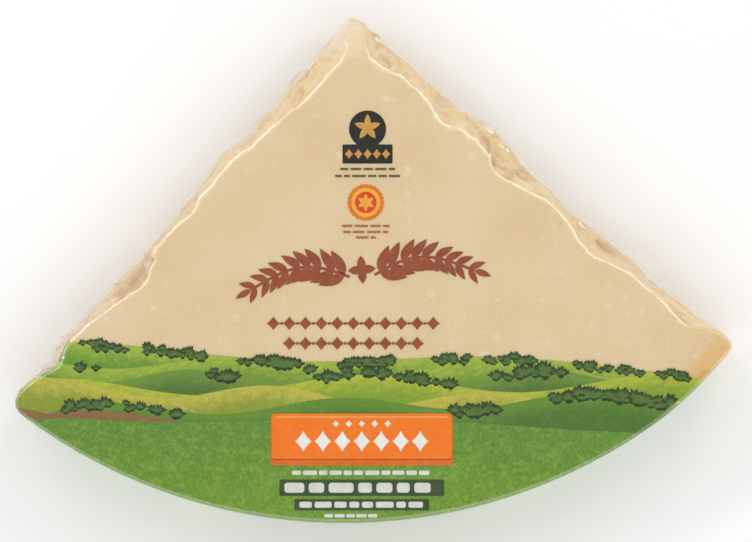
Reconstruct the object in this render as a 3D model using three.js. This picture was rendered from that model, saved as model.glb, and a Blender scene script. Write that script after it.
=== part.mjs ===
// A quarter slice of an aged parmesan wheel, vacuum-packed in a tight film and lying on its back.
// Two sides were broken open and are craggy, the curved side is the rind, and the faces are cut flat.
// Millimetres, +Z up, the tip towards +Y, the origin in the middle of the foot of the bounding box.
import * as THREE from 'three';

// Driving dimensions of the slice
const wheelRadius = 214.2;
const sliceHeight = 30;
const openingAngle = 90.9;
const tipFromWheelCentre = new THREE.Vector2(4.4, -9.6);
const tipRounding = 3.5;
const rindCornerRounding = 7;
const rightCornerWear = 2;
const rightCornerWearReach = 45;
const edgeRounding = 1.6;
const rindBulge = 0.8;
const faceWaviness = 0.25;

// Each broken side bears from -Y by half the opening angle. Offsets are from its straight line, outwards
// where positive: its rims at the face and the back, and its widest line, at a level from back to face.
// What broke off a rim, or swells from the widest line, is a stretch that starts, is deepest and ends at
// distances from the tip. The flank is a power of the way from rim to widest line: over 1 it is hollow.
const leftSide = {
  bearing: -openingAngle / 2,
  faceRim: -0.6,
  backRim: -1.8,
  widest: 2.7,
  widestLevel: 0.44,
  faceChips: [
    { from: -30, deepest: 12, to: 80, depth: 9.2 },
    { from: 93, deepest: 98, to: 114, depth: 2.0 },
    { from: 119, deepest: 137, to: 170, depth: 6.6 },
    { from: 177, deepest: 186, to: 208, depth: 3.6 },
  ],
  backChips: [
    { from: -30, deepest: 4, to: 26, depth: 2.0 },
    { from: 22, deepest: 41, to: 60, depth: 3.4 },
    { from: 84, deepest: 112, to: 121, depth: 4.1 },
    { from: 150, deepest: 163, to: 190, depth: 3.0 },
  ],
  swellings: [
    { from: 66, deepest: 86, to: 124, depth: 2.4 },
    { from: 131, deepest: 146, to: 163, depth: 0.9 },
    { from: 170, deepest: 178, to: 187, depth: 1.0 },
    { from: 182, deepest: 189, to: 195, depth: -2.6 },
  ],
  flankAtTip: 0.6,
  flank: 0.85,
  seed: 11,
};

const rightSide = {
  bearing: openingAngle / 2,
  faceRim: -5.9,
  backRim: -3.4,
  widest: 0.1,
  widestLevel: 0.44,
  faceChips: [
    { from: -30, deepest: 15, to: 26, depth: 3.8 },
    { from: 36, deepest: 53, to: 59, depth: 3.5 },
    { from: 74, deepest: 80, to: 104, depth: 4.9 },
    { from: 107, deepest: 134, to: 152, depth: 4.6 },
    { from: 177, deepest: 186, to: 191, depth: 1.8 },
  ],
  backChips: [
    { from: 28, deepest: 36, to: 58, depth: 4.4 },
    { from: 92, deepest: 118, to: 139, depth: 3.2 },
    { from: 156, deepest: 176, to: 182, depth: 3.6 },
  ],
  swellings: [
    { from: -60, deepest: 10, to: 100, depth: 0.9 },
    { from: 53, deepest: 75, to: 98, depth: 3.5 },
    { from: 96, deepest: 124, to: 148, depth: -1.7 },
    { from: 146, deepest: 159, to: 190, depth: -1.6 },
  ],
  flankAtTip: 0.9,
  flank: 1.35,
  seed: 29,
};

// Crags over the broken sides: shallow bowls that meet in ridges, and a finer grain between them.
// The widest line wanders between the levels, and the bowls leave it standing.
const bowlLength = 15;
const bowlHeight = 10;
const bowlDepth = 2.9;
const grainLength = 5.5;
const grainDepth = 0.7;
const wanderLength = 24;
const wanderLevels = 0.3;
const fadeFromTip = 20;
const fadeFromRind = 16;

// Steps round the outline, and the rings of the surface from the middle of the back to that of the face.
// A ring's x is its share of the way out from the middle, and its y its height over the back.
const sideStep = 2.3;
const rindStep = 9;
const cornerSteps = 5;
const wallHeights = [0.35, 1, 1.6, 3.6, 6, 8.5, 11, 13.5, 16, 18.5, 21, 23.5, 26, 28.4, 29, 29.65];
const rings = [
  [0, 0], [0.6, 0], [0.93, 0], [1, 0],
  ...wallHeights.map((height) => [1, height]),
  [1, sliceHeight], [0.975, sliceHeight], [0.85, sliceHeight], [0.45, sliceHeight], [0, sliceHeight],
];

const { smoothstep, lerp, degToRad } = THREE.MathUtils;

// A number from 0 to 1 that depends only on a lattice corner and a seed
function cornerValue(column, row, seed) {
  const wave = Math.sin(column * 127.1 + row * 311.7 + seed * 74.7) * 43758.5453;
  return wave - Math.floor(wave);
}

// Smooth noise from 0 to 1 over a plane
function softNoise(x, y, seed) {
  const column = Math.floor(x);
  const row = Math.floor(y);
  const across = smoothstep(x - column, 0, 1);
  const up = smoothstep(y - row, 0, 1);
  const low = lerp(cornerValue(column, row, seed), cornerValue(column + 1, row, seed), across);
  const high = lerp(cornerValue(column, row + 1, seed), cornerValue(column + 1, row + 1, seed), across);
  return lerp(low, high, up);
}

// How deep a point lies in the nearest of many scattered bowls: 1 at its middle, 0 at the ridges
function bowlShare(x, y, seed) {
  let nearest = 1;
  for (let column = Math.floor(x) - 1; column <= Math.floor(x) + 1; column++) {
    for (let row = Math.floor(y) - 1; row <= Math.floor(y) + 1; row++) {
      const dx = column + cornerValue(column, row, seed) - x;
      const dy = row + cornerValue(column, row, seed + 5) - y;
      nearest = Math.min(nearest, dx * dx + dy * dy);
    }
  }
  return 1 - nearest;
}

// How far the listed stretches together reach at one distance from the tip
function reachOf(stretches, along) {
  return stretches.reduce((sum, { from, deepest, to, depth }) => {
    const rise = smoothstep(along, from, deepest);
    const fall = 1 - smoothstep(along, deepest, to);
    return sum + depth * rise * fall;
  }, 0);
}

// The way a side runs from the tip towards the rind, in the plane of the wheel
function directionOf(side) {
  const bearing = degToRad(side.bearing);
  return new THREE.Vector2(Math.sin(bearing), -Math.cos(bearing));
}

// The length of a side from the tip to the wheel's rim
function lengthOf(side) {
  const inward = tipFromWheelCentre.dot(directionOf(side));
  return -inward + Math.sqrt(inward ** 2 - tipFromWheelCentre.lengthSq() + wheelRadius ** 2);
}

function pointOnSide(side, along) {
  return tipFromWheelCentre.clone().addScaledVector(directionOf(side), along);
}

function pointOnRim(angle) {
  return new THREE.Vector2(Math.cos(angle), Math.sin(angle)).multiplyScalar(wheelRadius);
}

// The slice's outline as stretches of curve, running counterclockwise seen from above
function outlineStretches() {
  const leftCorner = pointOnSide(leftSide, lengthOf(leftSide));
  const rightCorner = pointOnSide(rightSide, lengthOf(rightSide));
  const startAngle = leftCorner.angle() + rindCornerRounding / wheelRadius;
  const endAngle = rightCorner.angle() - rindCornerRounding / wheelRadius;
  const leftTop = pointOnSide(leftSide, tipRounding);
  const leftEnd = pointOnSide(leftSide, lengthOf(leftSide) - rindCornerRounding);
  const rightTop = pointOnSide(rightSide, tipRounding);
  const rightEnd = pointOnSide(rightSide, lengthOf(rightSide) - rindCornerRounding);
  const bend = (from, corner, to) => ({ curve: new THREE.QuadraticBezierCurve(from, corner, to) });
  const rind = { curve: new THREE.ArcCurve(0, 0, wheelRadius, startAngle, endAngle, false), step: rindStep };
  return [
    { ...bend(rightTop, tipFromWheelCentre, leftTop), isTip: true },
    { curve: new THREE.LineCurve(leftTop, leftEnd), step: sideStep, side: leftSide },
    bend(leftEnd, leftCorner, pointOnRim(startAngle)),
    rind,
    bend(pointOnRim(endAngle), rightCorner, rightEnd),
    { curve: new THREE.LineCurve(rightEnd, rightTop), step: sideStep, side: rightSide },
  ];
}

// The stations round the outline: a point, the way out of the slice, and the stretch that it lies on
function outlineStations() {
  const stations = [];
  for (const { curve, step, side, isTip } of outlineStretches()) {
    const steps = step ? Math.round(curve.getLength() / step) : cornerSteps;
    for (let index = 0; index < steps; index++) {
      const point = curve.getPointAt(index / steps);
      const tangent = curve.getTangentAt(index / steps);
      const outward = new THREE.Vector2(tangent.y, -tangent.x);
      stations.push({ point, outward, side, isTip, along: point.distanceTo(tipFromWheelCentre) });
    }
  }
  return stations;
}

// How far the edges between a face and the walls are rounded in, at a height over the back
function edgeInset(height) {
  const fromFace = Math.min(height, sliceHeight - height);
  const rise = edgeRounding - Math.min(fromFace, edgeRounding);
  return edgeRounding - Math.sqrt(edgeRounding ** 2 - rise ** 2);
}

// How far the crags cut into a broken side, none of it along the widest line
function cragDepth(side, along, height, widestLevel) {
  const bowl = bowlShare(along / bowlLength, height / bowlHeight, side.seed);
  const grain = softNoise(along / grainLength, height / grainLength, side.seed + 1);
  const fromWidest = smoothstep(Math.abs(height / sliceHeight - widestLevel), 0.05, 0.25);
  const fromRims = smoothstep(Math.min(height, sliceHeight - height), 0, 4);
  const fromTip = smoothstep(along, tipRounding, fadeFromTip);
  return fromTip * fromRims * (fromWidest * bowlDepth * bowl ** 2 + grainDepth * grain);
}

// How far a point of a broken side lies out from its straight line
function brokenOffset(side, along, height) {
  const level = height / sliceHeight;
  const wander = softNoise(along / wanderLength, 0, side.seed + 2) - 0.5;
  const widestLevel = side.widestLevel + wanderLevels * wander * smoothstep(along, 0, fadeFromTip);
  const isUpper = level > widestLevel;
  const rim = isUpper
    ? side.faceRim - reachOf(side.faceChips, along)
    : side.backRim - reachOf(side.backChips, along);
  const fromRim = isUpper ? (1 - level) / (1 - widestLevel) : level / widestLevel;
  const power = lerp(side.flankAtTip, side.flank, smoothstep(along, 30, 90));
  const widest = side.widest + reachOf(side.swellings, along);
  return lerp(rim, widest, fromRim ** power) - cragDepth(side, along, height, widestLevel);
}

function rindOffset(height) {
  return rindBulge * Math.sin((Math.PI * height) / sliceHeight);
}

// How far the right corner and what lies near it are worn in
function wearAt(point) {
  const rightCorner = pointOnSide(rightSide, lengthOf(rightSide));
  return rightCornerWear * (1 - smoothstep(point.distanceTo(rightCorner), 0, rightCornerWearReach));
}

// A station's place on the wall at a height. The tip slides in by what both sides leave off there, and
// each side's points slide along it to make room for that.
function wallPoint({ point, outward, side, isTip, along }, height) {
  const leftOff = -brokenOffset(leftSide, 0, height);
  const rightOff = -brokenOffset(rightSide, 0, height);
  const placed = point.clone().addScaledVector(outward, -edgeInset(height) - wearAt(point));
  if (isTip) {
    placed.addScaledVector(directionOf(leftSide), rightOff);
    return placed.addScaledVector(directionOf(rightSide), leftOff);
  }
  if (!side) return placed.addScaledVector(outward, rindOffset(height));
  const share = smoothstep(lengthOf(side) - along, rindCornerRounding, rindCornerRounding + fadeFromRind);
  const offset = lerp(rindOffset(height), brokenOffset(side, along, height), share);
  const slide = (side === leftSide ? rightOff : leftOff) * (1 - along / lengthOf(side));
  return placed.addScaledVector(outward, offset).addScaledVector(directionOf(side), slide);
}

// A point of the surface: on the walls, or on the back or face a share of the way out to the wall
function surfacePoint(station, middle, share, height) {
  const plan = wallPoint(station, height).sub(middle).multiplyScalar(share).add(middle);
  const wave = softNoise(plan.x / 38, plan.y / 38, 3) - 0.5;
  const isFace = height === sliceHeight;
  const lift = isFace ? 2 * faceWaviness * wave * smoothstep(1 - share, 0, 0.1) : 0;
  return new THREE.Vector3(plan.x, plan.y, height + lift);
}

// The pack's closed surface: a turned solid whose columns are moved onto the outline's stations
function packGeometry() {
  const stations = outlineStations();
  const profile = rings.map(([share, height]) => new THREE.Vector2(share, height));
  const geometry = new THREE.LatheGeometry(profile, stations.length);
  const middle = stations
    .reduce((sum, { point }) => sum.add(point), new THREE.Vector2())
    .divideScalar(stations.length);
  const position = geometry.getAttribute('position');
  for (let column = 0; column <= stations.length; column++) {
    const station = stations[column % stations.length];
    rings.forEach(([share, height], ring) => {
      const placed = surfacePoint(station, middle, share, height);
      position.setXYZ(column * rings.length + ring, placed.x, placed.y, placed.z);
    });
  }
  geometry.computeBoundingBox();
  const centre = geometry.boundingBox.getCenter(new THREE.Vector3());
  geometry.translate(-centre.x, -centre.y, 0);
  geometry.computeVertexNormals();
  return geometry;
}

function packMaterial() {
  return new THREE.MeshStandardMaterial({ color: 0xe4cb9d, roughness: 0.35, metalness: 0 });
}

const pack = new THREE.Mesh(packGeometry(), packMaterial());
pack.name = 'cheese_pack';

const slice = new THREE.Group();
slice.add(pack);

export default slice;
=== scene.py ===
# A vacuum-packed quarter slice of parmesan: the cheese, the clear film shrunk onto it and the print.
# All lengths are in metres. The slice lies on its back, the tip towards +Y and the printed face up.
import math
import random

import bpy
import numpy as np
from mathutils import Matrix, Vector, noise
from mathutils.bvhtree import BVHTree


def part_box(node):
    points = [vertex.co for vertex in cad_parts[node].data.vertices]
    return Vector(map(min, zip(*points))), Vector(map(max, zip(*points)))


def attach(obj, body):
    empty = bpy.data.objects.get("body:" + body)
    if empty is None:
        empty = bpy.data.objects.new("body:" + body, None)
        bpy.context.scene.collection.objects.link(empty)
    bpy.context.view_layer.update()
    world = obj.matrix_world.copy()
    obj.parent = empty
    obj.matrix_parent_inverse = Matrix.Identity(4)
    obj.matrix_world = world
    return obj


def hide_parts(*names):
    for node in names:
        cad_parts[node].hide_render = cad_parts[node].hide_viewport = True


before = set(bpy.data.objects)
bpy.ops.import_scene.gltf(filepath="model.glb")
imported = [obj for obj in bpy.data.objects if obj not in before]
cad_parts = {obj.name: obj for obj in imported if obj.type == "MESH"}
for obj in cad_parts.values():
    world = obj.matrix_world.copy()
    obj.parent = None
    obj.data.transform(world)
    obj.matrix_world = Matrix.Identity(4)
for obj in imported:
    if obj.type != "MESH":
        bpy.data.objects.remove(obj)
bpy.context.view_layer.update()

# Real sizes of the slice
MM = 0.001
WHEEL_RADIUS = 215 * MM
THICKNESS = 30 * MM
NODE = "cheese_pack"

# The photo: its frame in pixels, the size of a pixel on the pack, and how far the slice leans in it.
# The wheel's centre falls at this pixel, above the top edge of the frame.
FRAME_WIDTH = 752
FRAME_HEIGHT = 542
PIXEL = 0.4053 * MM
LEAN = math.radians(3.85)
WHEEL_CENTRE_PIXEL = (344.7, -7.9)
CAMERA_DISTANCE = 1.2

# The surfaces, inwards from the pack's outer form
FILM_SKIN = 0.12 * MM
PRINT_INSET = 0.15 * MM      # how far the print lies under the film
INK_LAYER = 0.022 * MM       # from one layer of ink to the next
INK_HAIR = 0.0002 * MM       # each shape of an ink lies this much over the one before it
CHEESE_SKIN = 0.42 * MM
BROKEN_EDGE = 3.2 * MM       # how far in from a broken side the cheese starts to bend down
EDGE_UNEVENNESS = 0.7        # the share by which that varies along a side
EDGE_WAVE = 13 * MM          # and the length over which it varies
RIND_EDGE = 1.5 * MM         # how far in from the rind the cheese starts to bend down
EDGE_DROP = 1.9 * MM         # how far down the bend reaches

# Where a side counts as broken: from the first to the second depth inside the rind's circle
BROKEN_FROM = 2.2 * MM
BROKEN_FULLY = 7 * MM

# The solid's wall is read at this many levels, from this far above its back to this far below its face
WALL_LEVELS = 22
LEVEL_MARGIN = 1.8 * MM

# The surface grids: steps between their columns along the sides, rows down the wall and round each bend,
# and the cap rows' shares of the way out from the middle
BROKEN_STEP = 0.7 * MM
RIND_STEP = 2.0 * MM
WALL_ROWS = 42
RIM_ROWS = 8
CAP_SHARES = (0.0, 0.25, 0.5, 0.7, 0.8, 0.86, 0.9, 0.925, 0.945, 0.96, 0.972, 0.982, 0.989, 0.995)
FREE_FROM_SHARE = 0.92       # from here outwards the film may leave the cheese

# The sizes of the crags, and the seed that their noise fields take their offsets from
COARSE_CRAG = 9 * MM
MEDIUM_CRAG = 4 * MM
FINE_CRAG = 1.6 * MM
CRAG_SEED = 3

# The tip: the face slopes down to it from this row of the photo, on the left of a crease between two pixels
TIP_PIXEL = (357, 15)
TIP_SLOPE_ROW = 66
TIP_DROP = 12 * MM
TIP_CURVE = 1.7              # the power of the way to the tip that the slope follows
TIP_CREASE = ((372, 60), (362, 26))

# The film: rounds of drawing it taut, the height of its wrinkles, and the corner where they gather
FILM_EASINGS = 90
LAST_EASINGS = 6             # these smooth the broken sides freely, after the film is taut
WRINKLE_HEIGHT = 0.8 * MM
LEFT_CORNER_PIXEL = (16, 399)
GATHERED_NEAR = 30 * MM      # as gathered as in the corner up to here
GATHERED_FAR = 66 * MM       # and no longer from here
FILM_GLOSS = 0.09            # the share of light that its two sides mirror when seen straight on

# The widest line of the broken sides, and how far the film stands off the cheese along it
WIDEST_HEIGHT = 13.2 * MM
RIM_GAP = 1.1 * MM

# Single folds of the film: the pixels of the photo that each passes, its height and its width
FOLDS = (
    (((361, 25), (364, 38), (368, 52)), 1.0 * MM, 1.1 * MM),
    (((371, 32), (377, 39), (385, 48)), 1.5 * MM, 1.3 * MM),
    (((380, 59), (391, 58), (403, 66)), 1.5 * MM, 1.3 * MM),
    (((446, 115), (456, 113), (463, 119)), 1.2 * MM, 1.2 * MM),
    (((478, 120), (486, 125), (494, 134)), 1.2 * MM, 1.1 * MM),
    (((495, 138), (503, 143), (511, 151)), 1.1 * MM, 1.0 * MM),
    (((514, 172), (521, 178), (529, 183)), 1.0 * MM, 1.0 * MM),
    (((572, 216), (579, 222), (588, 229)), 1.0 * MM, 1.0 * MM),
    (((613, 250), (626, 262), (640, 268)), 0.8 * MM, 1.1 * MM),
    (((669, 296), (682, 306), (694, 316)), 0.8 * MM, 1.1 * MM),
    (((284, 84), (292, 76), (300, 66)), 0.8 * MM, 1.0 * MM),
    (((100, 305), (117, 296), (133, 291)), 0.8 * MM, 1.2 * MM),
)

# The largest hollows where pieces broke out under the film: the photo's pixel, its radius and its depth
HOLLOWS = (
    ((146, 262), 3.0 * MM, 1.2 * MM),
    ((139, 273), 3.5 * MM, 1.6 * MM),
    ((130, 284), 3.5 * MM, 1.6 * MM),
    ((118, 295), 3.0 * MM, 1.3 * MM),
    ((186, 191), 3.5 * MM, 1.5 * MM),
    ((496, 157), 4.5 * MM, 0.7 * MM),
    ((612, 240), 4.5 * MM, 1.2 * MM),
)

# The print: how far it runs onto the back and past the bend of a broken side, where most of its marks are
# centred across the plan, in millimetres, and the seeds of its draws
PRINT_ON_BACK = 17 * MM
PRINT_PAST_RIM = 0.9 * MM
PRINT_MIDDLE = 7.0
TUFT_SEED = 5
DASH_SEED = 8
RULE_SEED = 3

# The studio: the floor, and each softbox's place, size and power in watts. The left one mirrors the right
FLOOR_REACH = 6.0
SIDE_PLACE = (0.8, 0.72, 0.68)
SIDE_SIZE = (1.28, 0.12)
LEFT_POWER = 4.6
RIGHT_POWER = 4.5
FRONT_PLACE = (0.0, -0.9, 1.1)
FRONT_SIZE = (2.8, 1.2)
FRONT_POWER = 8.8

noise.seed_set(CRAG_SEED)


def smoothstep(value, low, high):
    """0 below low, 1 above high, and a smooth rise between them, for a number or an array."""
    share = np.clip((value - low) / (high - low), 0.0, 1.0)
    return share * share * (3 - 2 * share)


class Slice:
    """The pack's outer form, read from the solid: its wall's distance from the middle by angle and height."""

    def __init__(self, node):
        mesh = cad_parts[node].data
        self.tree = BVHTree.FromPolygons([v.co for v in mesh.vertices], [p.vertices for p in mesh.polygons])
        low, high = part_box(node)
        self.middle = np.array([(low.x + high.x) / 2, (low.y + high.y) / 2])
        self.angles = self.column_angles()
        self.outward = np.stack([np.cos(self.angles), np.sin(self.angles)], axis=1)
        self.heights = np.linspace(LEVEL_MARGIN, THICKNESS - LEVEL_MARGIN, WALL_LEVELS)
        self.reaches = np.array([[self.reach(a, z) for a in self.angles] for z in self.heights])
        self.wheel_centre = self.fit_wheel_centre()
        widest = self.middle + self.outward * self.reaches.max(axis=0)[:, None]
        inside = WHEEL_RADIUS - np.linalg.norm(widest - self.wheel_centre, axis=1)
        self.broken = smoothstep(inside, BROKEN_FROM, BROKEN_FULLY)
        uneven = np.array([noise.noise(Vector((*point, 0)) / EDGE_WAVE) for point in widest])
        self.edge = RIND_EDGE + (BROKEN_EDGE * (1 + EDGE_UNEVENNESS * uneven) - RIND_EDGE) * self.broken

    def reach(self, angle, height):
        """How far the wall lies from the middle at an angle and a height."""
        start = Vector((self.middle[0], self.middle[1], height))
        hit = self.tree.ray_cast(start, Vector((math.cos(angle), math.sin(angle), 0)))
        return hit[3]

    def column_angles(self):
        """Angles whose columns stand evenly along the broken sides, and wider apart along the rind."""
        fine = np.linspace(-math.pi, math.pi, 2400)
        reaches = np.array([self.reach(a, THICKNESS / 2) for a in fine])
        corners = reaches[:, None] * np.stack([np.cos(fine), np.sin(fine)], axis=1)
        lengths = np.linalg.norm(np.diff(corners, axis=0), axis=1)
        is_rind = (fine[:-1] > math.radians(-160)) & (fine[:-1] < math.radians(-20))
        weights = np.cumsum(lengths / np.where(is_rind, RIND_STEP, BROKEN_STEP))
        count = int(weights[-1])
        return np.interp(np.arange(count) * weights[-1] / count, np.concatenate([[0], weights]), fine)

    def fit_wheel_centre(self):
        """The centre of the circle through the rind's points."""
        is_rind = (self.angles > math.radians(-150)) & (self.angles < math.radians(-30))
        reaches = self.reaches[len(self.heights) // 2][is_rind]
        points = self.middle + self.outward[is_rind] * reaches[:, None]
        equations = np.column_stack([2 * points, np.ones(len(points))])
        answer = np.linalg.lstsq(equations, (points ** 2).sum(axis=1), rcond=None)[0]
        return answer[:2]

    def on_face(self, x, y):
        """Whether plan points lie on the flat part of the face, clear of its bend and of the crags."""
        angles = np.arctan2(y - self.middle[1], x - self.middle[0])
        limits = self.reach_at(THICKNESS) - CHEESE_SKIN - self.edge - (0.2 + 2.0 * self.broken) * MM
        room = np.interp(angles, self.angles, limits, period=2 * math.pi)
        return np.hypot(x - self.middle[0], y - self.middle[1]) < room

    def reach_at(self, height):
        """The wall's distance from the middle at one height, for every column."""
        height = np.clip(height, self.heights[0], self.heights[-1])
        place = np.interp(height, self.heights, np.arange(len(self.heights)))
        below = min(int(place), len(self.heights) - 2)
        share = place - below
        return self.reaches[below] * (1 - share) + self.reaches[below + 1] * share


pack = Slice(NODE)


def profile_rows():
    """The rows of the cheese's surface from the middle of its face to the middle of its back.

    Each is a share of the way out from the middle, a share of the edge's inset from the wall and a height."""
    top = THICKNESS - CHEESE_SKIN
    foot = CHEESE_SKIN
    turns = [math.radians(90 - 90 * step / RIM_ROWS) for step in range(RIM_ROWS)]
    rim = [(1.0, 1 - math.cos(a), EDGE_DROP * (1 - math.sin(a))) for a in turns]
    wall = np.linspace(top - EDGE_DROP, foot + EDGE_DROP, WALL_ROWS)
    rows = [(share, 1.0, top) for share in CAP_SHARES]
    rows += [(share, inset, top - drop) for share, inset, drop in rim]
    rows += [(1.0, 0.0, height) for height in wall]
    rows += [(share, inset, foot + drop) for share, inset, drop in reversed(rim)]
    rows += [(share, 1.0, foot) for share in reversed(CAP_SHARES)]
    return rows


def facets(point, size, seed):
    """A field of small tilted planes that meet in steps, as a hard cheese breaks. About -1 to 1."""
    place = point / size + Vector((seed, seed * 1.7, -seed))
    nearest = noise.voronoi(place)[1][0]
    tilt = noise.noise_vector(nearest * 3.1 + Vector((7.3, 1.9, 4.1)))
    return (place - nearest).dot(tilt) * 2.0 + tilt.x


def crag_depth(x, y, z):
    """How deep the broken surface lies at a point below the form that the film follows."""
    point = Vector((x, y, z))
    warp = noise.noise_vector(point / COARSE_CRAG) * 1.5 * MM
    coarse = facets(point + warp, COARSE_CRAG, 1.0)
    medium = facets(point + warp, MEDIUM_CRAG, 2.0)
    fine = noise.fractal(point / FINE_CRAG, 0.8, 2.1, 3)
    return (0.7 + 0.95 * coarse + 0.6 * medium + 0.2 * fine) * MM


def tip_slope(points):
    """How far towards the tip plan points lie on the slope to the left of the crease, and 0 off it."""
    start = np.array(photo_point(TIP_PIXEL[0], TIP_SLOPE_ROW))
    way = np.array(photo_point(*TIP_PIXEL)) - start
    share = np.clip((points - start) @ way / way.dot(way), 0.0, 1.1)
    low, high = (np.array(photo_point(*pixel)) for pixel in TIP_CREASE)
    along = (high - low) / np.linalg.norm(high - low)
    right = (points - low) @ np.array([along[1], -along[0]])
    return share * (1 - smoothstep(right, -3.5 * MM, 1.0 * MM))


def ceiling(points):
    """The height of the cheese's face at plan points, lower on the slope to the tip."""
    return THICKNESS - CHEESE_SKIN - TIP_DROP * tip_slope(points) ** TIP_CURVE


def hollow_depth(points):
    """How deep the largest hollows cut at plan points of the upper half."""
    depth = np.zeros(len(points))
    for pixel, radius, deepest in HOLLOWS:
        away = np.linalg.norm(points - np.array(photo_point(*pixel)), axis=1)
        depth = np.maximum(depth, deepest * np.exp(-(away / radius) ** 4))
    return depth


def cheese_grid():
    """The cheese's surface points by row and column, and how deep the crags cut at each."""
    rows = profile_rows()
    grid = np.zeros((len(rows), len(pack.angles), 3))
    depths = np.zeros(grid.shape[:2])
    for row, (share, inset, height) in enumerate(rows):
        reach = pack.reach_at(height) - CHEESE_SKIN - inset * pack.edge
        flat = pack.middle + pack.outward * reach[:, None]
        nearness = smoothstep(share, 0.93, 1.0)
        if nearness > 0:
            for column in np.flatnonzero(pack.broken):
                depths[row, column] = max(0.0, crag_depth(*flat[column], height))
            depths[row] += hollow_depth(flat) * (height > WIDEST_HEIGHT)
            near_slope = smoothstep(height - ceiling(flat), -3 * MM, 0.0)
            sloping = smoothstep(tip_slope(flat), 0.02, 0.2) * near_slope
            depths[row] *= nearness * pack.broken * (1 - sloping)
        reach = reach * share - depths[row]
        grid[row, :, :2] = pack.middle + pack.outward * reach[:, None]
        grid[row, :, 2] = np.minimum(height, ceiling(grid[row, :, :2]))
    return grid, depths


def break_shares(cheese):
    """1 where the cheese is broken, 0 on its flat cut faces, on the slope to the tip and on the rind."""
    from_middle = abs(cheese[:, :, 2] - THICKNESS / 2)
    on_wall = 1 - smoothstep(from_middle, THICKNESS / 2 - 3.5 * MM, THICKNESS / 2 - 0.8 * MM)
    is_upper = cheese[:, :, 2] > WIDEST_HEIGHT
    return pack.broken * on_wall * (1 - is_upper * smoothstep(tip_slope(cheese[:, :, :2]), 0.0, 0.4))


def set_back(cheese):
    """The cheese drawn in from the film along the widest line of its broken sides."""
    from_widest = abs(cheese[:, :, 2] - WIDEST_HEIGHT)
    gap = RIM_GAP * pack.broken * (1 - smoothstep(from_widest, 2 * MM, 9 * MM))
    drawn_in = cheese.copy()
    for row, column in zip(*np.nonzero(gap)):
        share = 1 + 0.6 * noise.noise(Vector(cheese[row, column]) / (6 * MM))
        drawn_in[row, column, :2] -= pack.outward[column] * gap[row, column] * share
    return drawn_in


def grid_normals(grid):
    """Outward normals of a closed grid whose rows run from the top down and columns counterclockwise."""
    around = np.roll(grid, -1, axis=1) - np.roll(grid, 1, axis=1)
    down = np.gradient(grid, axis=0)
    normals = np.cross(down, around)
    lengths = np.linalg.norm(normals, axis=2, keepdims=True)
    normals = normals / np.maximum(lengths, 1e-12)
    normals[0] = (0, 0, 1)
    normals[-1] = (0, 0, -1)
    return normals


def mesh_from_grid(name, grid):
    """A closed smooth mesh over a grid, its first and last rows drawn together into one point each."""
    count = grid.shape[1]
    inner = grid[1:-1]
    rows = inner.shape[0]
    top, foot = 0, 1 + rows * count
    points = np.concatenate([grid[0, :1], inner.reshape(-1, 3), grid[-1, :1]])
    faces = []
    for column in range(count):
        following = (column + 1) % count
        faces.append((top, 1 + column, 1 + following))
        for row in range(rows - 1):
            start = 1 + row * count
            below = start + count
            faces.append((start + column, below + column, below + following, start + following))
        last = 1 + (rows - 1) * count
        faces.append((last + column, foot, last + following))
    mesh = bpy.data.meshes.new(name)
    mesh.from_pydata(points.tolist(), [], faces)
    mesh.validate()
    mesh.polygons.foreach_set("use_smooth", [True] * len(mesh.polygons))
    return mesh


def add_grid_attribute(mesh, name, values):
    """Gives each point of a grid's mesh its own value for the shader."""
    flat = np.concatenate([values[0, :1], values[1:-1].ravel(), values[-1, :1]])
    mesh.attributes.new(name, "FLOAT", "POINT").data.foreach_set("value", flat)


def add_piece(name, mesh, material):
    """Puts a finished piece into the scene in place of the solid, riding on the one body."""
    piece = bpy.data.objects.new(name, mesh)
    bpy.context.scene.collection.objects.link(piece)
    mesh.materials.append(material)
    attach(piece, "root")
    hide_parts(NODE)


def crumple_share(film):
    """Where the film is gathered in wrinkles: on the broken sides, and most of all at the left corner."""
    corner = np.array(photo_point(*LEFT_CORNER_PIXEL))
    from_corner = np.linalg.norm(film[:, :, :2] - corner, axis=2)
    at_corner = 1 - smoothstep(from_corner, GATHERED_NEAR, GATHERED_FAR)
    from_middle = abs(film[:, :, 2] - THICKNESS / 2)
    on_wall = 1 - smoothstep(from_middle, THICKNESS / 2 - 2.5 * MM, THICKNESS / 2 - 0.5 * MM)
    off_widest = smoothstep(abs(film[:, :, 2] - WIDEST_HEIGHT), 1 * MM, 6 * MM)
    along_side = 0.4 * off_widest
    in_corner = 0.45 + 0.55 * off_widest
    return on_wall * pack.broken * (along_side * (1 - at_corner) + in_corner * at_corner)


def wrinkle(point, length, width, seed):
    """A field of sharp ridges of about the given width that run along the wall's slanting levels. 0 to 1."""
    lean = point[2] + 0.35 * (point[0] + point[1])
    place = Vector((point[0] / length, point[1] / length + seed, lean / width))
    return max(0.0, 1 - 3.2 * abs(noise.noise(place)))


def fold_heights(film):
    """How far the single folds stand out of the film, at every point of its upper half."""
    heights = np.zeros(film.shape[:2])
    upper = film[film[:, :, 2] > THICKNESS / 2]
    steps = np.linspace(0, 1, 30)
    for path, height, width in FOLDS:
        corners = np.array([photo_point(*pixel) for pixel in path])
        places = np.linspace(0, 1, len(path))
        line = np.stack([np.interp(steps, places, corners[:, axis]) for axis in range(2)], axis=1)
        nearest = np.linalg.norm(upper[:, None, :2] - line, axis=2).argmin(axis=0)
        gaps = np.linalg.norm(film[:, :, None] - upper[nearest], axis=3)
        taper = np.sin(math.pi * (0.04 + 0.92 * steps[gaps.argmin(axis=2)])) ** 0.6
        heights = np.maximum(heights, height * taper * np.exp(-(gaps.min(axis=2) / width) ** 2))
    return heights * (film[:, :, 2] > THICKNESS / 2)


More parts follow.
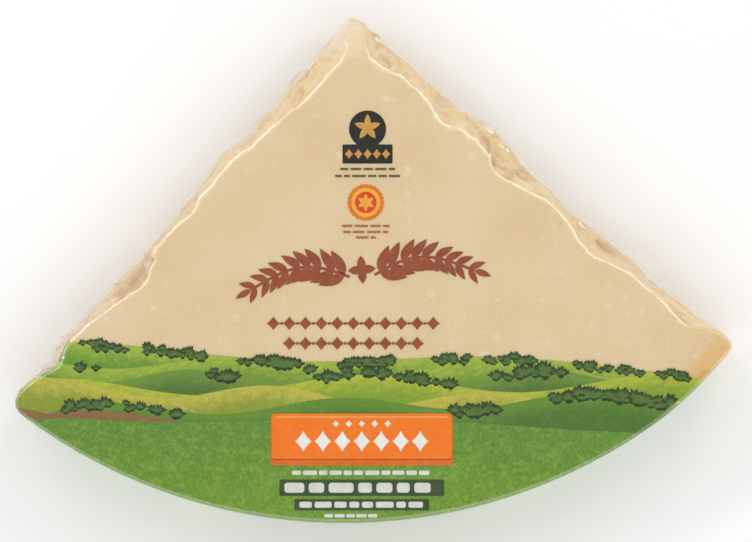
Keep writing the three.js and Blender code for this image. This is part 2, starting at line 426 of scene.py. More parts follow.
def film_grid(cheese):
    """The film: the cheese's grid let out, then drawn taut so that it bridges the hollows, then wrinkled."""
    normals = grid_normals(cheese)
    gap = CHEESE_SKIN - FILM_SKIN
    film = cheese + normals * gap
    first_free = sum(share < FREE_FROM_SHARE for share in CAP_SHARES)
    is_free = np.zeros(cheese.shape[0], bool)
    is_free[first_free:-first_free] = True
    for easing in range(FILM_EASINGS + LAST_EASINGS):
        mean = (np.roll(film, 1, axis=1) + np.roll(film, -1, axis=1)) / 2
        upper = np.roll(film, 1, axis=0)
        lower = np.roll(film, -1, axis=0)
        eased = film * 0.4 + mean * 0.3 + (upper + lower) * 0.15
        if easing < FILM_EASINGS:
            film[is_free] = eased[is_free]
            short = gap - ((film - cheese) * normals).sum(axis=2)
            film += normals * np.maximum(short, 0)[:, :, None]
        else:
            film += (eased - film) * pack.broken[:, None] * is_free[:, None, None]
    crumple = crumple_share(film)
    outward = grid_normals(film)
    for row, column in zip(*np.nonzero(crumple > 0.02)):
        point = film[row, column]
        height = 0.6 * wrinkle(point, 24 * MM, 3.8 * MM, 0.0) + 0.4 * wrinkle(point, 12 * MM, 5 * MM, 5.0)
        film[row, column] += outward[row, column] * height * crumple[row, column] * WRINKLE_HEIGHT
    film += outward * fold_heights(film)[:, :, None]
    film[:, :, 2] = np.clip(film[:, :, 2], FILM_SKIN, THICKNESS - FILM_SKIN)
    return film


def film_veil(film, cheese):
    """How whitish the film looks at each point: where it stands off the cheese and where it is crumpled, with
    a painted reflection along the widest line of the broken sides, where the film is seen edge-on.
    """
    lift = ((film - cheese) * grid_normals(film)).sum(axis=2) - (CHEESE_SKIN - FILM_SKIN)
    lifted = smoothstep(lift, 0.5 * MM, 3.0 * MM) * pack.broken
    # Painted reflection: a grey-white veil along the widest line, where the film is seen edge-on at the
    # outline.
    painted_rim_reflection = pack.broken * (1 - smoothstep(abs(film[:, :, 2] - WIDEST_HEIGHT), 1 * MM, 4.5 * MM))
    crumple = crumple_share(film)
    return np.clip(0.1 * lifted + 0.3 * painted_rim_reflection + 0.5 * crumple ** 2, 0.0, 1.0)


class Shader:
    """A material's node tree, with short calls for its nodes and links."""

    def __init__(self, name):
        self.material = bpy.data.materials.new(name)
        self.material.use_nodes = True
        self.tree = self.material.node_tree
        self.tree.nodes.clear()
        self.output = self.tree.nodes.new("ShaderNodeOutputMaterial")

    def node(self, kind, settings=None, **inputs):
        """A node with its settings and inputs. An input is a value or another node's output.

        It goes to the socket of its name, or by number: i0 is the first."""
        made = self.tree.nodes.new("ShaderNode" + kind)
        for name, value in (settings or {}).items():
            setattr(made, name, value)
        for name, value in inputs.items():
            is_number = name[0] == "i" and name[1:].isdigit()
            socket = made.inputs[int(name[1:]) if is_number else name.replace("_", " ")]
            if isinstance(value, bpy.types.NodeSocket):
                self.tree.links.new(value, socket)
            else:
                socket.default_value = value
        return made

    def place(self):
        """The object's own coordinates, in metres."""
        return self.node("TexCoord").outputs["Object"]

    def scaled_place(self, size):
        """The object's own coordinates with a feature of the given size as the unit."""
        mapping = self.node("Mapping", Vector=self.place(), Scale=(1 / size,) * 3)
        return mapping.outputs[0]

    def noise(self, size, detail=2.0, roughness=0.5, distortion=0.0):
        """A soft noise whose features have the given size, about 0 to 1."""
        made = self.node(
            "TexNoise", Vector=self.scaled_place(size), Scale=1.0, Detail=detail,
            Roughness=roughness, Distortion=distortion,
        )
        return made.outputs["Fac"]

    def ramp(self, value, low, high, low_value=0.0, high_value=1.0):
        """A smooth change from the low value to the high one as the input goes from low to high."""
        made = self.node(
            "MapRange", {"interpolation_type": "SMOOTHSTEP"}, Value=value, From_Min=low, From_Max=high,
            To_Min=low_value, To_Max=high_value,
        )
        return made.outputs["Result"]

    def mix(self, factor, first, second):
        made = self.node("Mix", {"data_type": "RGBA"}, i0=factor, i6=first, i7=second)
        return made.outputs[2]

    def maths(self, operation, first, second):
        return self.node("Math", {"operation": operation}, i0=first, i1=second).outputs[0]

    def finish(self, shader):
        self.tree.links.new(shader, self.output.inputs["Surface"])
        return self.material


def srgb(red, green, blue):
    """A colour as seen on a screen, 0 to 255, as the linear colour that a shader takes."""
    def linear(value):
        share = value / 255
        return share / 12.92 if share <= 0.04045 else ((share + 0.055) / 1.055) ** 2.4
    return (linear(red), linear(green), linear(blue), 1.0)


class Wave:
    """One wave of colour of the printed band, on the print's own plan.

    The plan is in millimetres from the wheel's centre as the photo shows it. The top edge has a level at
    the middle, a slope, and a swing with its length and the place of a crest. The colour goes from light
    to dark over the depth, with darker rows this far apart where asked for, and with blades of grass."""

    def __init__(self, level, slope, swing, length, crest, light, dark, depth=9.0, rows=0.0, grass=0.16):
        self.level = level
        self.slope = slope
        self.swing = swing
        self.length = length
        self.crest = crest
        self.light = light
        self.dark = dark
        self.depth = depth
        self.rows = rows
        self.grass = grass

    def top(self, across):
        """The height of the wave's top edge on the plan."""
        turn = 2 * math.pi * (across - self.crest) / self.length
        return self.level + self.slope * across + self.swing * np.cos(turn)


# From the farthest to the nearest. Each covers the ones before it
WAVES = (
    Wave(-147.5, -0.035, 2.2, 168, -105, srgb(178, 196, 78), srgb(112, 160, 52)),
    Wave(-151.0, -0.020, 3.0, 104, 62, srgb(172, 196, 74), srgb(122, 160, 56), rows=3.0),
    Wave(-155.0, 0.000, 2.6, 71, -62, srgb(122, 158, 66), srgb(82, 122, 52)),
    Wave(-158.5, 0.010, 3.8, 125, 8, srgb(196, 200, 70), srgb(140, 172, 52), rows=4.0),
    Wave(-163.0, -0.030, 3.2, 88, -118, srgb(206, 196, 84), srgb(150, 166, 58)),
    Wave(-166.5, 0.020, 2.8, 97, 96, srgb(110, 154, 56), srgb(80, 126, 48)),
    Wave(-178.5, -0.090, 0.9, 64, -92, srgb(156, 112, 76), srgb(132, 92, 60), rows=2.0),
    Wave(-173.5, -0.022, 1.6, 190, 20, srgb(111, 157, 62), srgb(126, 168, 55), depth=34.0, grass=0.42),
    Wave(-223.0, 0.010, 3.4, 84, 12, srgb(186, 198, 76), srgb(142, 172, 56), rows=3.5),
    Wave(-231.0, -0.015, 3.0, 110, -40, srgb(96, 140, 56), srgb(66, 108, 46), depth=20.0, grass=0.3),
)


def pale_crystals(shader, size, least, most):
    """Scattered irregular specks, one in some of the cells of the given size. 1 in a speck, 0 outside."""
    cells = shader.node("TexVoronoi", Vector=shader.scaled_place(size), Scale=1.0)
    ragged = shader.ramp(shader.noise(size / 5, 3.0, 0.6), 0.25, 0.75, -0.2, 0.2)
    reach = shader.maths("ADD", cells.outputs["Distance"], ragged)
    speck = shader.ramp(reach, least, most, 1.0, 0.0)
    chance = shader.node("SeparateXYZ", Vector=cells.outputs["Color"]).outputs[0]
    return shader.maths("MULTIPLY", speck, shader.ramp(chance, 0.4, 0.9))


def cheese_material():
    """Creamy paste with pale crystals, painted shade that darkens the hollows of the crags, and a tan rind.
    """
    shader = Shader("cheese")
    clouds = shader.ramp(shader.noise(30 * MM, 3.0, 0.5), 0.3, 0.7)
    colour = shader.mix(clouds, srgb(240, 219, 182), srgb(236, 211, 168))
    grain = shader.ramp(shader.noise(1.1 * MM, 4.0, 0.65), 0.35, 0.75, 0.0, 0.22)
    colour = shader.mix(grain, colour, srgb(222, 191, 140))
    patches = shader.ramp(shader.noise(40 * MM, 2.0), 0.4, 0.58)
    large = pale_crystals(shader, 6.5 * MM, 0.12, 0.3)
    small = shader.maths("MULTIPLY", pale_crystals(shader, 3.2 * MM, 0.1, 0.34), 0.55)
    crystals = shader.maths("MAXIMUM", large, small)
    specks = shader.maths("MULTIPLY", crystals, shader.ramp(patches, 0.0, 1.0, 0.15, 0.7))
    colour = shader.mix(specks, colour, srgb(245, 233, 208))
    break_share = shader.node("Attribute", {"attribute_name": "break_share"}).outputs["Fac"]
    colour = shader.mix(shader.maths("MULTIPLY", break_share, 0.75), colour, srgb(244, 212, 146))
    depth = shader.node("Attribute", {"attribute_name": "crag_depth"}).outputs["Fac"]
    mottle = shader.ramp(shader.noise(4 * MM, 5.0, 0.65), 0.44, 0.66, 0.0, 0.42)
    colour = shader.mix(shader.maths("MULTIPLY", mottle, break_share), colour, srgb(216, 168, 92))
    # Painted shade: the broken walls turn a deep tan where the crags cut deepest, as shade would fall in
    # them.
    hollow = shader.maths("MULTIPLY", shader.ramp(depth, 0.7, 2.4, 0.0, 0.9), break_share)
    colour = shader.mix(hollow, colour, srgb(206, 148, 62))
    flat = shader.node("VectorMath", {"operation": "MULTIPLY"}, i0=shader.place(), i1=(1, 1, 0)).outputs[0]
    centre = (*pack.wheel_centre, 0)
    reach = shader.node("VectorMath", {"operation": "DISTANCE"}, i0=flat, i1=centre).outputs["Value"]
    drift = shader.ramp(shader.noise(12 * MM, 5.0, 0.65), 0.25, 0.75, -3.5 * MM, 3.5 * MM)
    wavering = shader.maths("ADD", reach, drift)
    tan = shader.ramp(wavering, WHEEL_RADIUS - 18 * MM, WHEEL_RADIUS - 4 * MM, 0.0, 0.85)
    colour = shader.mix(tan, colour, srgb(236, 192, 122))
    crust = shader.ramp(wavering, WHEEL_RADIUS - 4 * MM, WHEEL_RADIUS - 1 * MM, 0.0, 0.6)
    colour = shader.mix(crust, colour, srgb(208, 158, 94))
    roughened = shader.ramp(break_share, 0.0, 1.0, 0.1, 1.0)
    rough_height = shader.maths("MULTIPLY", shader.noise(1.4 * MM, 4.0, 0.7), roughened)
    bump = shader.node("Bump", Strength=0.8, Distance=0.0006, Height=rough_height)
    principled = shader.node(
        "BsdfPrincipled", Base_Color=colour, Roughness=0.45, Subsurface_Weight=0.2, Normal=bump.outputs[0],
        Subsurface_Radius=(1.0, 0.6, 0.3), Subsurface_Scale=0.003,
    )
    return shader.finish(principled.outputs[0])


def ink_material(name, light, dark):
    """One printed colour, a little uneven as ink on film is."""
    shader = Shader(name)
    colour = shader.mix(shader.ramp(shader.noise(3.2 * MM, 4.0, 0.6), 0.3, 0.7), light, dark)
    principled = shader.node("BsdfPrincipled", Base_Color=colour, Roughness=0.45)
    return shader.finish(principled.outputs[0])


def print_material():
    """The waves over each other, each shaded down from its top edge and lightly mottled."""
    shader = Shader("printed_waves")
    plan = shader.node("Attribute", {"attribute_name": "print_plan"}).outputs["Vector"]
    parts = shader.node("SeparateXYZ", Vector=plan)
    across, up = parts.outputs[0], parts.outputs[1]
    mottle = shader.noise(2.6 * MM, 4.0, 0.62)
    blades = shader.node(
        "TexNoise", Vector=shader.node("Mapping", Vector=plan, Scale=(1.0, 0.6, 1.0)).outputs[0],
        Scale=1.0, Detail=3.0, Roughness=0.6,
    ).outputs["Fac"]
    colour = WAVES[0].light
    for wave in WAVES:
        past_crest = shader.maths("SUBTRACT", across, wave.crest)
        turn = shader.maths("MULTIPLY", past_crest, 2 * math.pi / wave.length)
        swing = shader.maths("MULTIPLY", shader.maths("COSINE", turn, 0.0), wave.swing)
        rise = shader.maths("ADD", shader.maths("MULTIPLY", across, wave.slope), wave.level)
        below = shader.maths("SUBTRACT", shader.maths("ADD", swing, rise), up)
        way_down = shader.maths("DIVIDE", below, wave.depth)
        shade = shader.maths("ADD", way_down, shader.ramp(mottle, 0.2, 0.8, -0.35, 0.35))
        tone = shader.mix(shader.ramp(shade, 0.0, 1.0), wave.light, wave.dark)
        if wave.rows:
            slanting = shader.maths("ADD", below, shader.maths("MULTIPLY", across, 0.35))
            comb = shader.maths("SINE", shader.maths("MULTIPLY", slanting, 2 * math.pi / wave.rows), 0.0)
            tone = shader.mix(shader.ramp(comb, 0.2, 0.9, 0.0, 0.28), tone, wave.dark)
        tone = shader.mix(shader.ramp(blades, 0.4, 0.6, 0.0, wave.grass), tone, srgb(70, 118, 38))
        tone = shader.mix(shader.ramp(mottle, 0.48, 0.66, 0.0, wave.grass * 0.6), tone, srgb(172, 198, 84))
        colour = shader.mix(shader.ramp(below, -0.12, 0.12), colour, tone)
    principled = shader.node("BsdfPrincipled", Base_Color=colour, Roughness=0.45)
    return shader.finish(principled.outputs[0])


def film_material():
    """Clear glossy film, whitish in streaks where it stands off the cheese and where it is crumpled, and
    painted grey-white along the widest line of the broken sides as a reflection of the film seen edge-on.
    """
    shader = Shader("film")
    clear = shader.node("BsdfTransparent", Color=(0.985, 0.985, 0.98, 1.0))
    roughness = shader.ramp(shader.noise(15 * MM, 2.0), 0.35, 0.65, 0.07, 0.2)
    fine = shader.node("Bump", Strength=0.22, Distance=0.0003, Height=shader.noise(5 * MM, 2.0, 0.45, 0.6))
    gloss = shader.node("BsdfGlossy", Color=(1, 1, 1, 1), Roughness=roughness, Normal=fine.outputs[0])
    # This grey-white is the film's own milkiness, and along the widest line it is a painted reflection.
    haze = shader.node("BsdfDiffuse", Color=(0.80, 0.79, 0.77, 1.0))
    facing = shader.node("LayerWeight", Blend=0.5).outputs["Facing"]
    grazing = shader.maths("MULTIPLY", shader.maths("POWER", facing, 5.0), 1 - FILM_GLOSS)
    mirror = shader.maths("ADD", grazing, FILM_GLOSS)
    veil = shader.node("Attribute", {"attribute_name": "veil"}).outputs["Fac"]
    streaks = shader.ramp(shader.noise(4.5 * MM, 3.0, 0.55, 1.5), 0.32, 0.68, 0.3, 1.0)
    hazed = shader.maths("MULTIPLY", veil, streaks)
    veiled = shader.node("MixShader", i0=hazed, i1=clear.outputs[0], i2=haze.outputs[0])
    surface = shader.node("MixShader", i0=mirror, i1=veiled.outputs[0], i2=gloss.outputs[0])
    return shader.finish(surface.outputs[0])


def floor_material():
    """A pale matt floor, a little uneven."""
    shader = Shader("floor")
    tone = shader.ramp(shader.noise(0.4, 2.0), 0.3, 0.7)
    colour = shader.mix(tone, (0.93, 0.93, 0.93, 1.0), (0.96, 0.96, 0.96, 1.0))
    principled = shader.node("BsdfPrincipled", Base_Color=colour, Roughness=0.9)
    return shader.finish(principled.outputs[0])


def turned(x, y, angle):
    """A plan vector turned counterclockwise."""
    return x * math.cos(angle) - y * math.sin(angle), x * math.sin(angle) + y * math.cos(angle)


def photo_point(column, row):
    """The plan point of the pack that shows at a pixel of the photo."""
    across = (column - WHEEL_CENTRE_PIXEL[0]) * PIXEL
    up = (WHEEL_CENTRE_PIXEL[1] - row) * PIXEL
    x, y = turned(across, up, -LEAN)
    return pack.wheel_centre[0] + x, pack.wheel_centre[1] + y


def print_plan(x, y):
    """A plan point of the pack as a point of the print's plan, in millimetres."""
    across, up = turned(x - pack.wheel_centre[0], y - pack.wheel_centre[1], LEAN)
    return across / MM, up / MM


def film_lengths(film):
    """How far each film point lies from the middle along the film's surface, by row and column."""
    steps = np.linalg.norm(np.diff(film, axis=0), axis=2)
    return np.concatenate([np.zeros((1, film.shape[1])), np.cumsum(steps, axis=0)])


def print_sheet(film, inset):
    """The printed band as a sheet under the film: over the face, down the rind and onto the back.

    It ends soon after the bend where it meets a broken side."""
    under = film - grid_normals(film) * inset
    lengths = film_lengths(film)
    rim_row = len(CAP_SHARES) + RIM_ROWS - 1
    foot_row = len(film) - len(CAP_SHARES)
    on_back = lengths[foot_row] + PRINT_ON_BACK
    past_rim = lengths[rim_row] + PRINT_PAST_RIM
    ends = past_rim * pack.broken + on_back * (1 - pack.broken)
    starts = {}
    for column in range(film.shape[1]):
        tries = np.linspace(0.0, ends[column], 700)
        flat = pack.middle + pack.outward[column] * tries[:, None]
        across, up = print_plan(flat[:, 0], flat[:, 1])
        printed = np.flatnonzero(up < WAVES[0].top(across))
        if len(printed):
            starts[column] = tries[printed[0]]
    points, plans, numbers = [], [], {}

    def point_at(column, row):
        """The number of the sheet's point in a column, made on first use. Points past an edge lie on it."""
        length = np.clip(lengths[row, column], starts[column], ends[column])
        key = (column, round(length * 1e7))
        if key not in numbers:
            place = [np.interp(length, lengths[:, column], under[:, column, axis]) for axis in range(3)]
            flat = pack.middle + pack.outward[column] * length
            numbers[key] = len(points)
            points.append(place)
            plans.append((*print_plan(*flat), 0.0))
        return numbers[key]

    faces = []
    for column in starts:
        following = (column + 1) % film.shape[1]
        if following not in starts:
            continue
        for row in range(len(film) - 1):
            corners = [
                point_at(column, row), point_at(column, row + 1),
                point_at(following, row + 1), point_at(following, row),
            ]
            loop = list(dict.fromkeys(corners))
            if len(loop) > 2:
                faces.append(loop)
    mesh = bpy.data.meshes.new("printed_band")
    mesh.from_pydata(points, [], faces)
    mesh.attributes.new("print_plan", "FLOAT_VECTOR", "POINT").data.foreach_set("vector", np.ravel(plans))
    mesh.polygons.foreach_set("use_smooth", [True] * len(mesh.polygons))
    return mesh


class Ink:
    """Flat printed shapes of one colour on the face, at their own small depth under the film.

    Places are on the print's plan, in millimetres."""

    def __init__(self, name, layer, light, dark):
        self.name = name
        self.height = THICKNESS - FILM_SKIN - PRINT_INSET + layer * INK_LAYER
        self.material = ink_material(name, light, dark)
        self.points = []
        self.faces = []
        self.shapes = 0

    def lay(self, plan_points):
        """The places on the pack of some plan points."""
        across, up = np.asarray(plan_points).T * MM
        x, y = turned(across, up, -LEAN)
        return pack.wheel_centre[0] + x, pack.wheel_centre[1] + y

    def outline(self, outline, centre=None):
        """A shape filled from its middle to its counterclockwise outline. One over the edge is left out."""
        outline = np.asarray(outline)
        centre = outline.mean(axis=0) if centre is None else centre
        x, y = self.lay([centre, *outline])
        if not pack.on_face(x, y).all():
            return
        first = len(self.points)
        self.points += [(*place, self.height + self.shapes % 80 * INK_HAIR) for place in zip(x, y)]
        self.shapes += 1
        count = len(outline)
        self.faces += [(first, first + 1 + i, first + 1 + (i + 1) % count) for i in range(count)]

    def round_shape(self, centre, turns, reach):
        """A shape whose outline lies at a reach from the centre in each direction."""
        x = centre[0] + reach * np.cos(turns)
        y = centre[1] + reach * np.sin(turns)
        self.outline(np.stack([x, y], axis=1))

    def blob(self, centre, radius, draw, sides=16):
        """A rounded shape with an uneven outline."""
        turns = np.arange(sides) * 2 * math.pi / sides
        self.round_shape(centre, turns, radius * np.array([draw.uniform(0.8, 1.12) for _ in turns]))

    def lozenge(self, centre, wide, tall, sides=24, hollow=0.85):
        """A four-cornered shape with hollow sides, which would be straight at a hollow of 1."""
        turns = np.arange(sides) * 2 * math.pi / sides
        reach = (abs(np.cos(turns)) ** hollow + abs(np.sin(turns)) ** hollow) ** (-1 / hollow)
        x = centre[0] + wide / 2 * np.cos(turns) * reach
        self.outline(np.stack([x, centre[1] + tall / 2 * np.sin(turns) * reach], axis=1), centre)

    def disc(self, centre, radius, sides=48, waves=0, swing=0.0):
        """A disc, scalloped where waves are asked for."""
        turns = np.arange(sides) * 2 * math.pi / sides
        self.round_shape(centre, turns, radius * (1 + swing * np.cos(turns * waves)))

    def leaf(self, foot, bearing, length, width, bend=0.0, steps=7):
        """A pointed leaf from its foot along a bearing, bent to one side."""
        shares = np.linspace(0, 1, steps + 1)
        middle = bend * length * shares ** 2
        half = width / 2 * np.sin(math.pi * shares ** 0.8) ** 0.9
        right = np.stack([shares * length, middle - half], axis=1)
        left = np.stack([shares * length, middle + half], axis=1)[::-1][1:-1]
        shape = np.concatenate([right, left])
        along, aside = turned(shape[:, 0], shape[:, 1], bearing)
        self.outline(np.stack([foot[0] + along, foot[1] + aside], axis=1))

    def bar(self, centre, length, height, corner):
        """A bar with round corners."""
        outline = []
        for quarter in range(4):
            turns = (quarter + np.linspace(0, 1, 7)) * math.pi / 2
            x = (length / 2 - corner) * (1 if quarter in (0, 3) else -1) + corner * np.cos(turns)
            y = (height / 2 - corner) * (1 if quarter in (0, 1) else -1) + corner * np.sin(turns)
            outline += list(zip(centre[0] + x, centre[1] + y))
        self.outline(outline, centre)

    def stroke(self, path, widths):
        """A line of changing width along a path of plan points."""
        path = np.asarray(path)
        way = np.gradient(path, axis=0)
        way /= np.linalg.norm(way, axis=1, keepdims=True)
        aside = np.stack([-way[:, 1], way[:, 0]], axis=1) * np.asarray(widths)[:, None] / 2
        first = len(self.points)
        x, y = self.lay([*(path - aside), *(path + aside)])
        self.points += [(*place, self.height) for place in zip(x, y)]
        left = first + len(path)
        for step in range(len(path) - 1):
            self.faces.append((first + step, first + step + 1, left + step + 1, left + step))

    def add(self):
        """Puts the shapes drawn so far into the scene as one piece."""
        mesh = bpy.data.meshes.new(self.name)
        mesh.from_pydata(self.points, [], self.faces)
        add_piece(self.name, mesh, self.material)


def add_banner():
    """An orange banner with a lower rim, a pale line near its upper edge and two rows of white lozenges."""
    level = -179.6
    bars = (
        (Ink("banner_rim", 2, srgb(238, 120, 36), srgb(228, 110, 30)), -1.1, 73.0, 20.4, 1.6),
        (Ink("banner_groove", 3, srgb(170, 92, 36), srgb(156, 82, 30)), 0.1, 72.6, 18.4, 1.4),
        (Ink("banner", 4, srgb(255, 136, 36), srgb(252, 126, 28)), 0.4, 72.4, 18.2, 1.4),
        (Ink("banner_line", 5, srgb(252, 178, 100), srgb(250, 168, 88)), 8.1, 69.0, 0.7, 0.3),
    )
    for ink, rise, length, height, corner in bars:
        ink.bar((PRINT_MIDDLE, level + rise), length, height, corner)
        ink.add()
    white = Ink("banner_lozenges", 5, srgb(250, 248, 244), srgb(244, 240, 232))
    for place in range(-3, 4):
        white.lozenge((PRINT_MIDDLE + place * 7.8, level - 1.6), 6.6, 8.4)
    for place in range(-2, 3):
        white.lozenge((PRINT_MIDDLE + place * 5.2, level + 5.4), 2.8, 2.8)
    white.add()


def add_sprigs():
    """Two mirrored leafy sprigs on curved stems that meet at a small rosette."""
    ink = Ink("brown_sprigs", 1, srgb(166, 90, 62), srgb(154, 78, 50))
    centre = np.array([PRINT_MIDDLE, -112.5])
    tilt = math.radians(5)
    steps = 40
    for side in (-1, 1):
        shares = np.linspace(0, 1, steps)
        stem = np.stack([side * (5 + 40 * shares), 5.5 * np.sin(shares * math.pi * 1.1) - 2.5], axis=1)
        path = centre + np.stack(turned(stem[:, 0], stem[:, 1], tilt), axis=1)
        ink.stroke(path[::side], np.full(steps, 1.1))
        for share in np.linspace(0.06, 0.95, 9):
            place = int(share * (steps - 1))
            way = path[place + 1] - path[place]
            bearing = math.atan2(way[1], way[0])
            length = 11.5 * (1 - 0.42 * share)
            for hand in (-1, 1):
                spread = hand * math.radians(48)
                ink.leaf(path[place], bearing + spread, length, length * 0.38, bend=-0.12 * hand)
        way = path[-1] - path[-2]
        ink.leaf(path[-1], math.atan2(way[1], way[0]), 7.0, 2.6)
    for quarter in range(4):
        ink.leaf(centre, tilt + quarter * math.pi / 2, 5.6, 3.4, steps=6)
    ink.add()


def add_lozenge_rows():
    """Two rows of brown lozenges with dots between them, the lower row shorter."""
    ink = Ink("brown_lozenges", 1, srgb(166, 90, 62), srgb(154, 78, 50))
    for level, count in ((-134.0, 11), (-142.0, 9)):
        for number in range(count):
            across = 3.6 + (number - (count - 1) / 2) * 6.4
            ink.lozenge((across, level), 5.4, 5.4)
            if number < count - 1:
                ink.disc((across + 3.2, level), 0.6, sides=12)
    ink.add()


def add_roundels():
    """A dark roundel with five pale leaves over a dark plate, and an orange one with six on a red heart."""
    dark = Ink("dark_roundel", 1, srgb(46, 48, 42), srgb(38, 38, 34))
    pale = Ink("pale_roundel_marks", 2, srgb(222, 170, 92), srgb(206, 150, 74))
    top = (9.3, -56.2)
    dark.disc(top, 7.4)
    dark.bar((top[0], top[1] - 10.0), 20.0, 7.6, 0.5)
    for turn in range(5):
        pale.leaf((top[0], top[1] + 0.6), math.radians(90 + 72 * turn), 5.4, 2.6)
    for place in range(-2, 3):
        pale.lozenge((top[0] + place * 3.7, top[1] - 10.0), 3.4, 4.2)
    dark.add()
    pale.add()
    low = (8.6, -85.6)
    edge = Ink("orange_roundel", 1, srgb(240, 132, 34), srgb(236, 120, 28))
    edge.disc(low, 7.2, sides=144, waves=24, swing=0.03)
    edge.add()
    ring = Ink("yellow_roundel_ring", 2, srgb(250, 190, 84), srgb(248, 178, 70))
    ring.disc(low, 5.8)
    ring.add()
    heart = Ink("red_roundel_heart", 3, srgb(232, 84, 34), srgb(224, 70, 28))
    heart.disc(low, 4.3)
    heart.add()
    petals = Ink("yellow_roundel_petals", 4, srgb(250, 184, 84), srgb(246, 170, 70))
    for turn in range(6):
        petals.leaf(low, math.radians(30 + 60 * turn), 3.6, 1.7)
    petals.add()


def add_small_rules(draw):
    """Short fine rules under the roundels, each broken into dashes."""
    dark = Ink("dark_fine_rules", 1, srgb(120, 104, 78), srgb(104, 90, 68))
    brown = Ink("brown_fine_rules", 1, srgb(190, 124, 78), srgb(178, 112, 68))
    rows = (
        (dark, 9.3, -72.2, 22), (dark, 9.3, -75.0, 26),
        (brown, 8.6, -95.0, 19), (brown, 8.6, -97.4, 18), (brown, 8.6, -99.6, 8),
    )
    for ink, middle, level, reach in rows:
        start = middle - reach / 2
        while start < middle + reach / 2 - 1.5:
            length = min(draw.uniform(2.4, 6.0), middle + reach / 2 - start)
            ink.bar((start + length / 2, level), length, 0.9, 0.2)
            start += length + 0.9
    dark.add()
    brown.add()


def add_tufts(draw):
    """Fans of leaves in rows along some of the waves, crowded in some stretches and thin in others.

    The leaves of a tuft spread from one foot, the longest dark and the shortest light."""
    shadow = Ink("tuft_shadows", 1, srgb(48, 74, 40), srgb(38, 60, 34))
    shades = (
        Ink("dark_leaves", 2, srgb(48, 74, 40), srgb(38, 62, 36)),
        Ink("green_leaves", 3, srgb(68, 100, 48), srgb(54, 84, 42)),
        Ink("light_leaves", 4, srgb(100, 132, 60), srgb(82, 112, 50)),
    )
    rows = (
        (0, -112, 138, 250, 1.7), (1, -108, -12, 90, 2.2), (2, -60, 132, 140, 2.3),
        (5, 40, 134, 140, 2.4), (5, -118, -52, 60, 2.1),
    )
    for wave, start, end, count, size in rows:
        for _ in range(count):
            across = draw.uniform(start, end)
            crowd = noise.noise(Vector((across / 19, wave * 5.3, 0))) + draw.uniform(-0.12, 0.12)
            if crowd < -0.08:
                continue
            up = WAVES[wave].top(across) - draw.uniform(0.2, 2.8)
            reach = size * draw.uniform(0.7, 1.25)
            shadow.blob((across, up), reach * 0.6, draw)
            for level, shade in enumerate(shades):
                leaves = 9 - 2 * level
                for number in range(leaves):
                    bearing = math.pi * (0.06 + 0.88 * (number + draw.uniform(0.1, 0.9)) / leaves)
                    length = reach * (1.5 - 0.3 * level) * draw.uniform(0.75, 1.1)
                    width = length * draw.uniform(0.3, 0.42)
                    shade.leaf((across, up), bearing, length, width, bend=draw.uniform(-0.15, 0.15), steps=4)
    shadow.add()
    for shade in shades:
        shade.add()


def add_dash_rows(draw):
    """Four rows of pale dashes under the banner, the middle two on dark backing bars."""
    backing = Ink("dark_backing_bars", 2, srgb(66, 92, 52), srgb(56, 80, 46))
    pale = Ink("pale_dashes", 3, srgb(232, 234, 226), srgb(216, 220, 210))
    backing.bar((PRINT_MIDDLE, -199.8), 66.0, 6.6, 0.6)
    backing.bar((PRINT_MIDDLE, -206.6), 54.0, 4.6, 0.5)
    for level, reach, height in ((-193.8, 56, 1.8), (-199.8, 62, 4.0), (-206.6, 50, 2.4), (-211.0, 30, 1.4)):
        start = PRINT_MIDDLE - reach / 2
        end = PRINT_MIDDLE + reach / 2
        while start < end - height:
            length = min(draw.uniform(0.9, 2.4) * height + 1.4, end - start)
            pale.bar((start + length / 2, level), length, height, height * 0.3)
            start += length + 0.45 * height
    backing.add()
    pale.add()


def add_camera():
    """The camera straight above the face, turned so that the slice leans as in the photo."""
    data = bpy.data.cameras.new("camera")
    data.sensor_width = 36.0
    data.lens = data.sensor_width * CAMERA_DISTANCE / (FRAME_WIDTH * PIXEL)
    camera = bpy.data.objects.new("camera", data)
    bpy.context.scene.collection.objects.link(camera)
    x, y = photo_point(FRAME_WIDTH / 2, FRAME_HEIGHT / 2)
    camera.location = (x, y, THICKNESS / 2 + CAMERA_DISTANCE)
    camera.rotation_euler = (0, 0, -LEAN)
    bpy.context.scene.camera = camera


def add_light(name, place, size, power):
    """A softbox that faces the slice."""
    data = bpy.data.lights.new(name, "AREA")
    data.shape = "RECTANGLE"
    data.size, data.size_y = size
    data.energy = power
    light = bpy.data.objects.new(name, data)
    bpy.context.scene.collection.objects.link(light)
    light.location = place
    light.rotation_euler = (-Vector(place)).to_track_quat("-Z", "Y").to_euler()


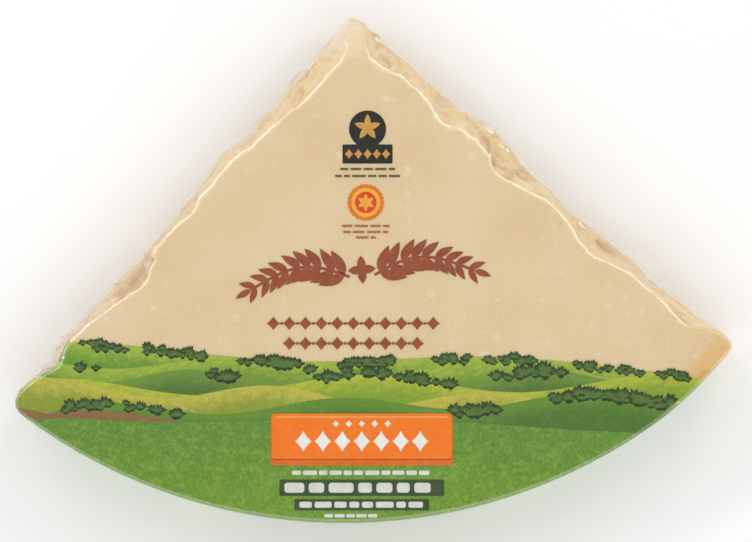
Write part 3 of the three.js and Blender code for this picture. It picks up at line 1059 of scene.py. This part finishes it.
def add_surround():
    """An even white surround, dark straight overhead so that the flat face mirrors nothing bright."""
    world = bpy.data.worlds.new("surround")
    bpy.context.scene.world = world
    world.use_nodes = True
    tree = world.node_tree
    place = tree.nodes.new("ShaderNodeTexCoord").outputs["Generated"]
    parts = tree.nodes.new("ShaderNodeSeparateXYZ")
    tree.links.new(place, parts.inputs[0])
    ramp = tree.nodes.new("ShaderNodeMapRange")
    ramp.interpolation_type = "SMOOTHSTEP"
    for name, value in (("From Min", 0.8), ("From Max", 0.97), ("To Min", 0.75), ("To Max", 0.05)):
        ramp.inputs[name].default_value = value
    tree.links.new(parts.outputs[2], ramp.inputs["Value"])
    background = tree.nodes["Background"]
    background.inputs["Color"].default_value = (1.0, 0.99, 0.98, 1.0)
    tree.links.new(ramp.outputs["Result"], background.inputs["Strength"])


def add_studio():
    """A pale floor, soft side and front lights and an even surround."""
    mesh = bpy.data.meshes.new("floor")
    corners = [(x * FLOOR_REACH, y * FLOOR_REACH, 0) for x, y in ((-1, -1), (1, -1), (1, 1), (-1, 1))]
    mesh.from_pydata(corners, [], [(0, 1, 2, 3)])
    floor = bpy.data.objects.new("floor", mesh)
    bpy.context.scene.collection.objects.link(floor)
    mesh.materials.append(floor_material())
    across, up, height = SIDE_PLACE
    add_light("left_softbox", (-across, up, height), SIDE_SIZE, LEFT_POWER)
    add_light("right_softbox", (across, up, height), SIDE_SIZE, RIGHT_POWER)
    add_light("front_softbox", FRONT_PLACE, FRONT_SIZE, FRONT_POWER)
    add_surround()
    bpy.context.scene.view_settings.view_transform = "Standard"


wrapped_points, crag_depths = cheese_grid()
film_points = film_grid(wrapped_points)
cheese_points = set_back(wrapped_points)
cheese_mesh = mesh_from_grid("cheese", cheese_points)
add_grid_attribute(cheese_mesh, "crag_depth", crag_depths / MM)
add_grid_attribute(cheese_mesh, "break_share", break_shares(cheese_points))
add_piece("cheese", cheese_mesh, cheese_material())
film_mesh = mesh_from_grid("film", film_points)
add_grid_attribute(film_mesh, "veil", film_veil(film_points, cheese_points))
add_piece("film", film_mesh, film_material())
add_piece("printed_band", print_sheet(film_points, PRINT_INSET), print_material())
add_tufts(random.Random(TUFT_SEED))
add_banner()
add_dash_rows(random.Random(DASH_SEED))
add_sprigs()
add_lozenge_rows()
add_roundels()
add_small_rules(random.Random(RULE_SEED))

add_camera()
add_studio()
